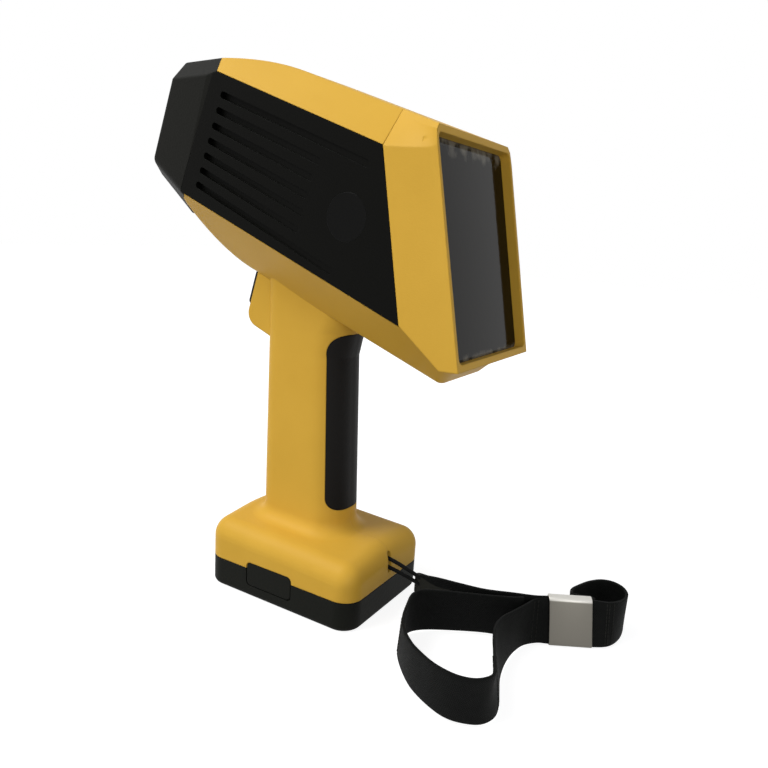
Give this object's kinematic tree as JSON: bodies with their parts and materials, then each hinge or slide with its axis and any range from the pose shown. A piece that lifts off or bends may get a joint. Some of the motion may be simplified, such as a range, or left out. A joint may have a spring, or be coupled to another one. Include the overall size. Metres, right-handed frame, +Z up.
{
  "type": "handheld X-ray fluorescence analyzer",
  "caption": "Pistol-shaped handheld element analyzer: faceted head with grooved side panels, display, trigger, rubber grip, clip-on battery foot and wrist strap.",
  "frame": {"origin": "middle of the battery's flat underside, on the surface that the analyzer stands on", "axes": "+Z up, +X towards the display end, -X towards the nose, +Y to the right side and -Y to the left side with the badge disc"},
  "size_m": [0.2509, 0.1196, 0.2624],
  "materials": {
    "yellow_shell": "fine satin texture",
    "black_shell": "satin black",
    "grip_rubber": "soft matte rubber",
    "screen_glass": "black-backed cover glass",
    "display_frame": "sheet frame",
    "gasket_foam": "foam",
    "screw_steel": "zinc plated",
    "nose_metal": "black anodized",
    "thin_film": "amber polymer film",
    "lens_glass": "polished",
    "badge_plastic": "plain gloss disc",
    "cell_wrap": "shrink sleeve",
    "contact_brass": "plated",
    "board": "solder mask",
    "deck_metal": "milled",
    "tube_metal": "turned",
    "potting": "potting compound",
    "spring_steel": "drawn wire",
    "webbing": "woven nylon",
    "cord_braid": "braided nylon",
    "tab_leather": "sewn tab",
    "slider_metal": "satin nickel"
  },
  "bodies": {
    "housing": {"left_housing": "yellow_shell", "right_housing": "yellow_shell", "display_bezel": "yellow_shell", "left_side_panel": "black_shell", "right_side_panel": "black_shell", "nose_cap": "black_shell", "terminal_block": "black_shell", "trigger_switch": "black_shell", "handle_grip": "grip_rubber", "display_glass": "screen_glass", "display_module": "display_frame", "bezel_gasket": "gasket_foam", "housing_screws": "screw_steel", "nose_screws": "screw_steel", "bezel_screws": "screw_steel", "anchor_pin": "screw_steel", "nose_plate": "nose_metal", "film_ring": "nose_metal", "window_film": "thin_film", "camera_window": "lens_glass", "badge_disc": "badge_plastic", "terminal_pins": "contact_brass", "processor_board": "board", "chassis_deck": "deck_metal", "heat_spreader": "deck_metal", "xray_tube": "tube_metal", "detector": "tube_metal", "high_voltage_supply": "potting", "trigger_spring": "spring_steel", "wrist_strap": "webbing", "lanyard_cord": "cord_braid", "strap_end_tab": "tab_leather"},
    "trigger": {"trigger": "black_shell"},
    "battery": {"battery_case": "black_shell", "battery_lid": "black_shell", "battery_contacts": "contact_brass", "battery_cells": "cell_wrap", "battery_board": "board", "latch_springs": "spring_steel"},
    "left_latch": {"left_latch": "black_shell"},
    "right_latch": {"right_latch": "black_shell"},
    "slider": {"strap_slider": "slider_metal"}
  },
  "joints": [
    {"name": "trigger_slide", "type": "slide", "parent": "housing", "child": "trigger", "axis": [0.9609, 0, -0.2768], "range_m": [0, 0.0024], "stiffness_N_per_m": 1200, "springref_m": -0.0015},
    {"name": "battery_slide", "type": "slide", "parent": "housing", "child": "battery", "axis": [0, 0, -1], "range_m": [0, 0.032]},
    {"name": "left_latch_slide", "type": "slide", "parent": "battery", "child": "left_latch", "axis": [0, 1, 0], "range_m": [0, 0.0022], "stiffness_N_per_m": 1000, "springref_m": -0.001},
    {"name": "right_latch_slide", "type": "slide", "parent": "battery", "child": "right_latch", "axis": [0, -1, 0], "range_m": [0, 0.0022], "stiffness_N_per_m": 1000, "springref_m": -0.001},
    {"name": "slider_slide", "type": "slide", "parent": "housing", "child": "slider", "axis": [-0.866, -0.5, 0], "range_m": [0, 0.005]}
  ]
}
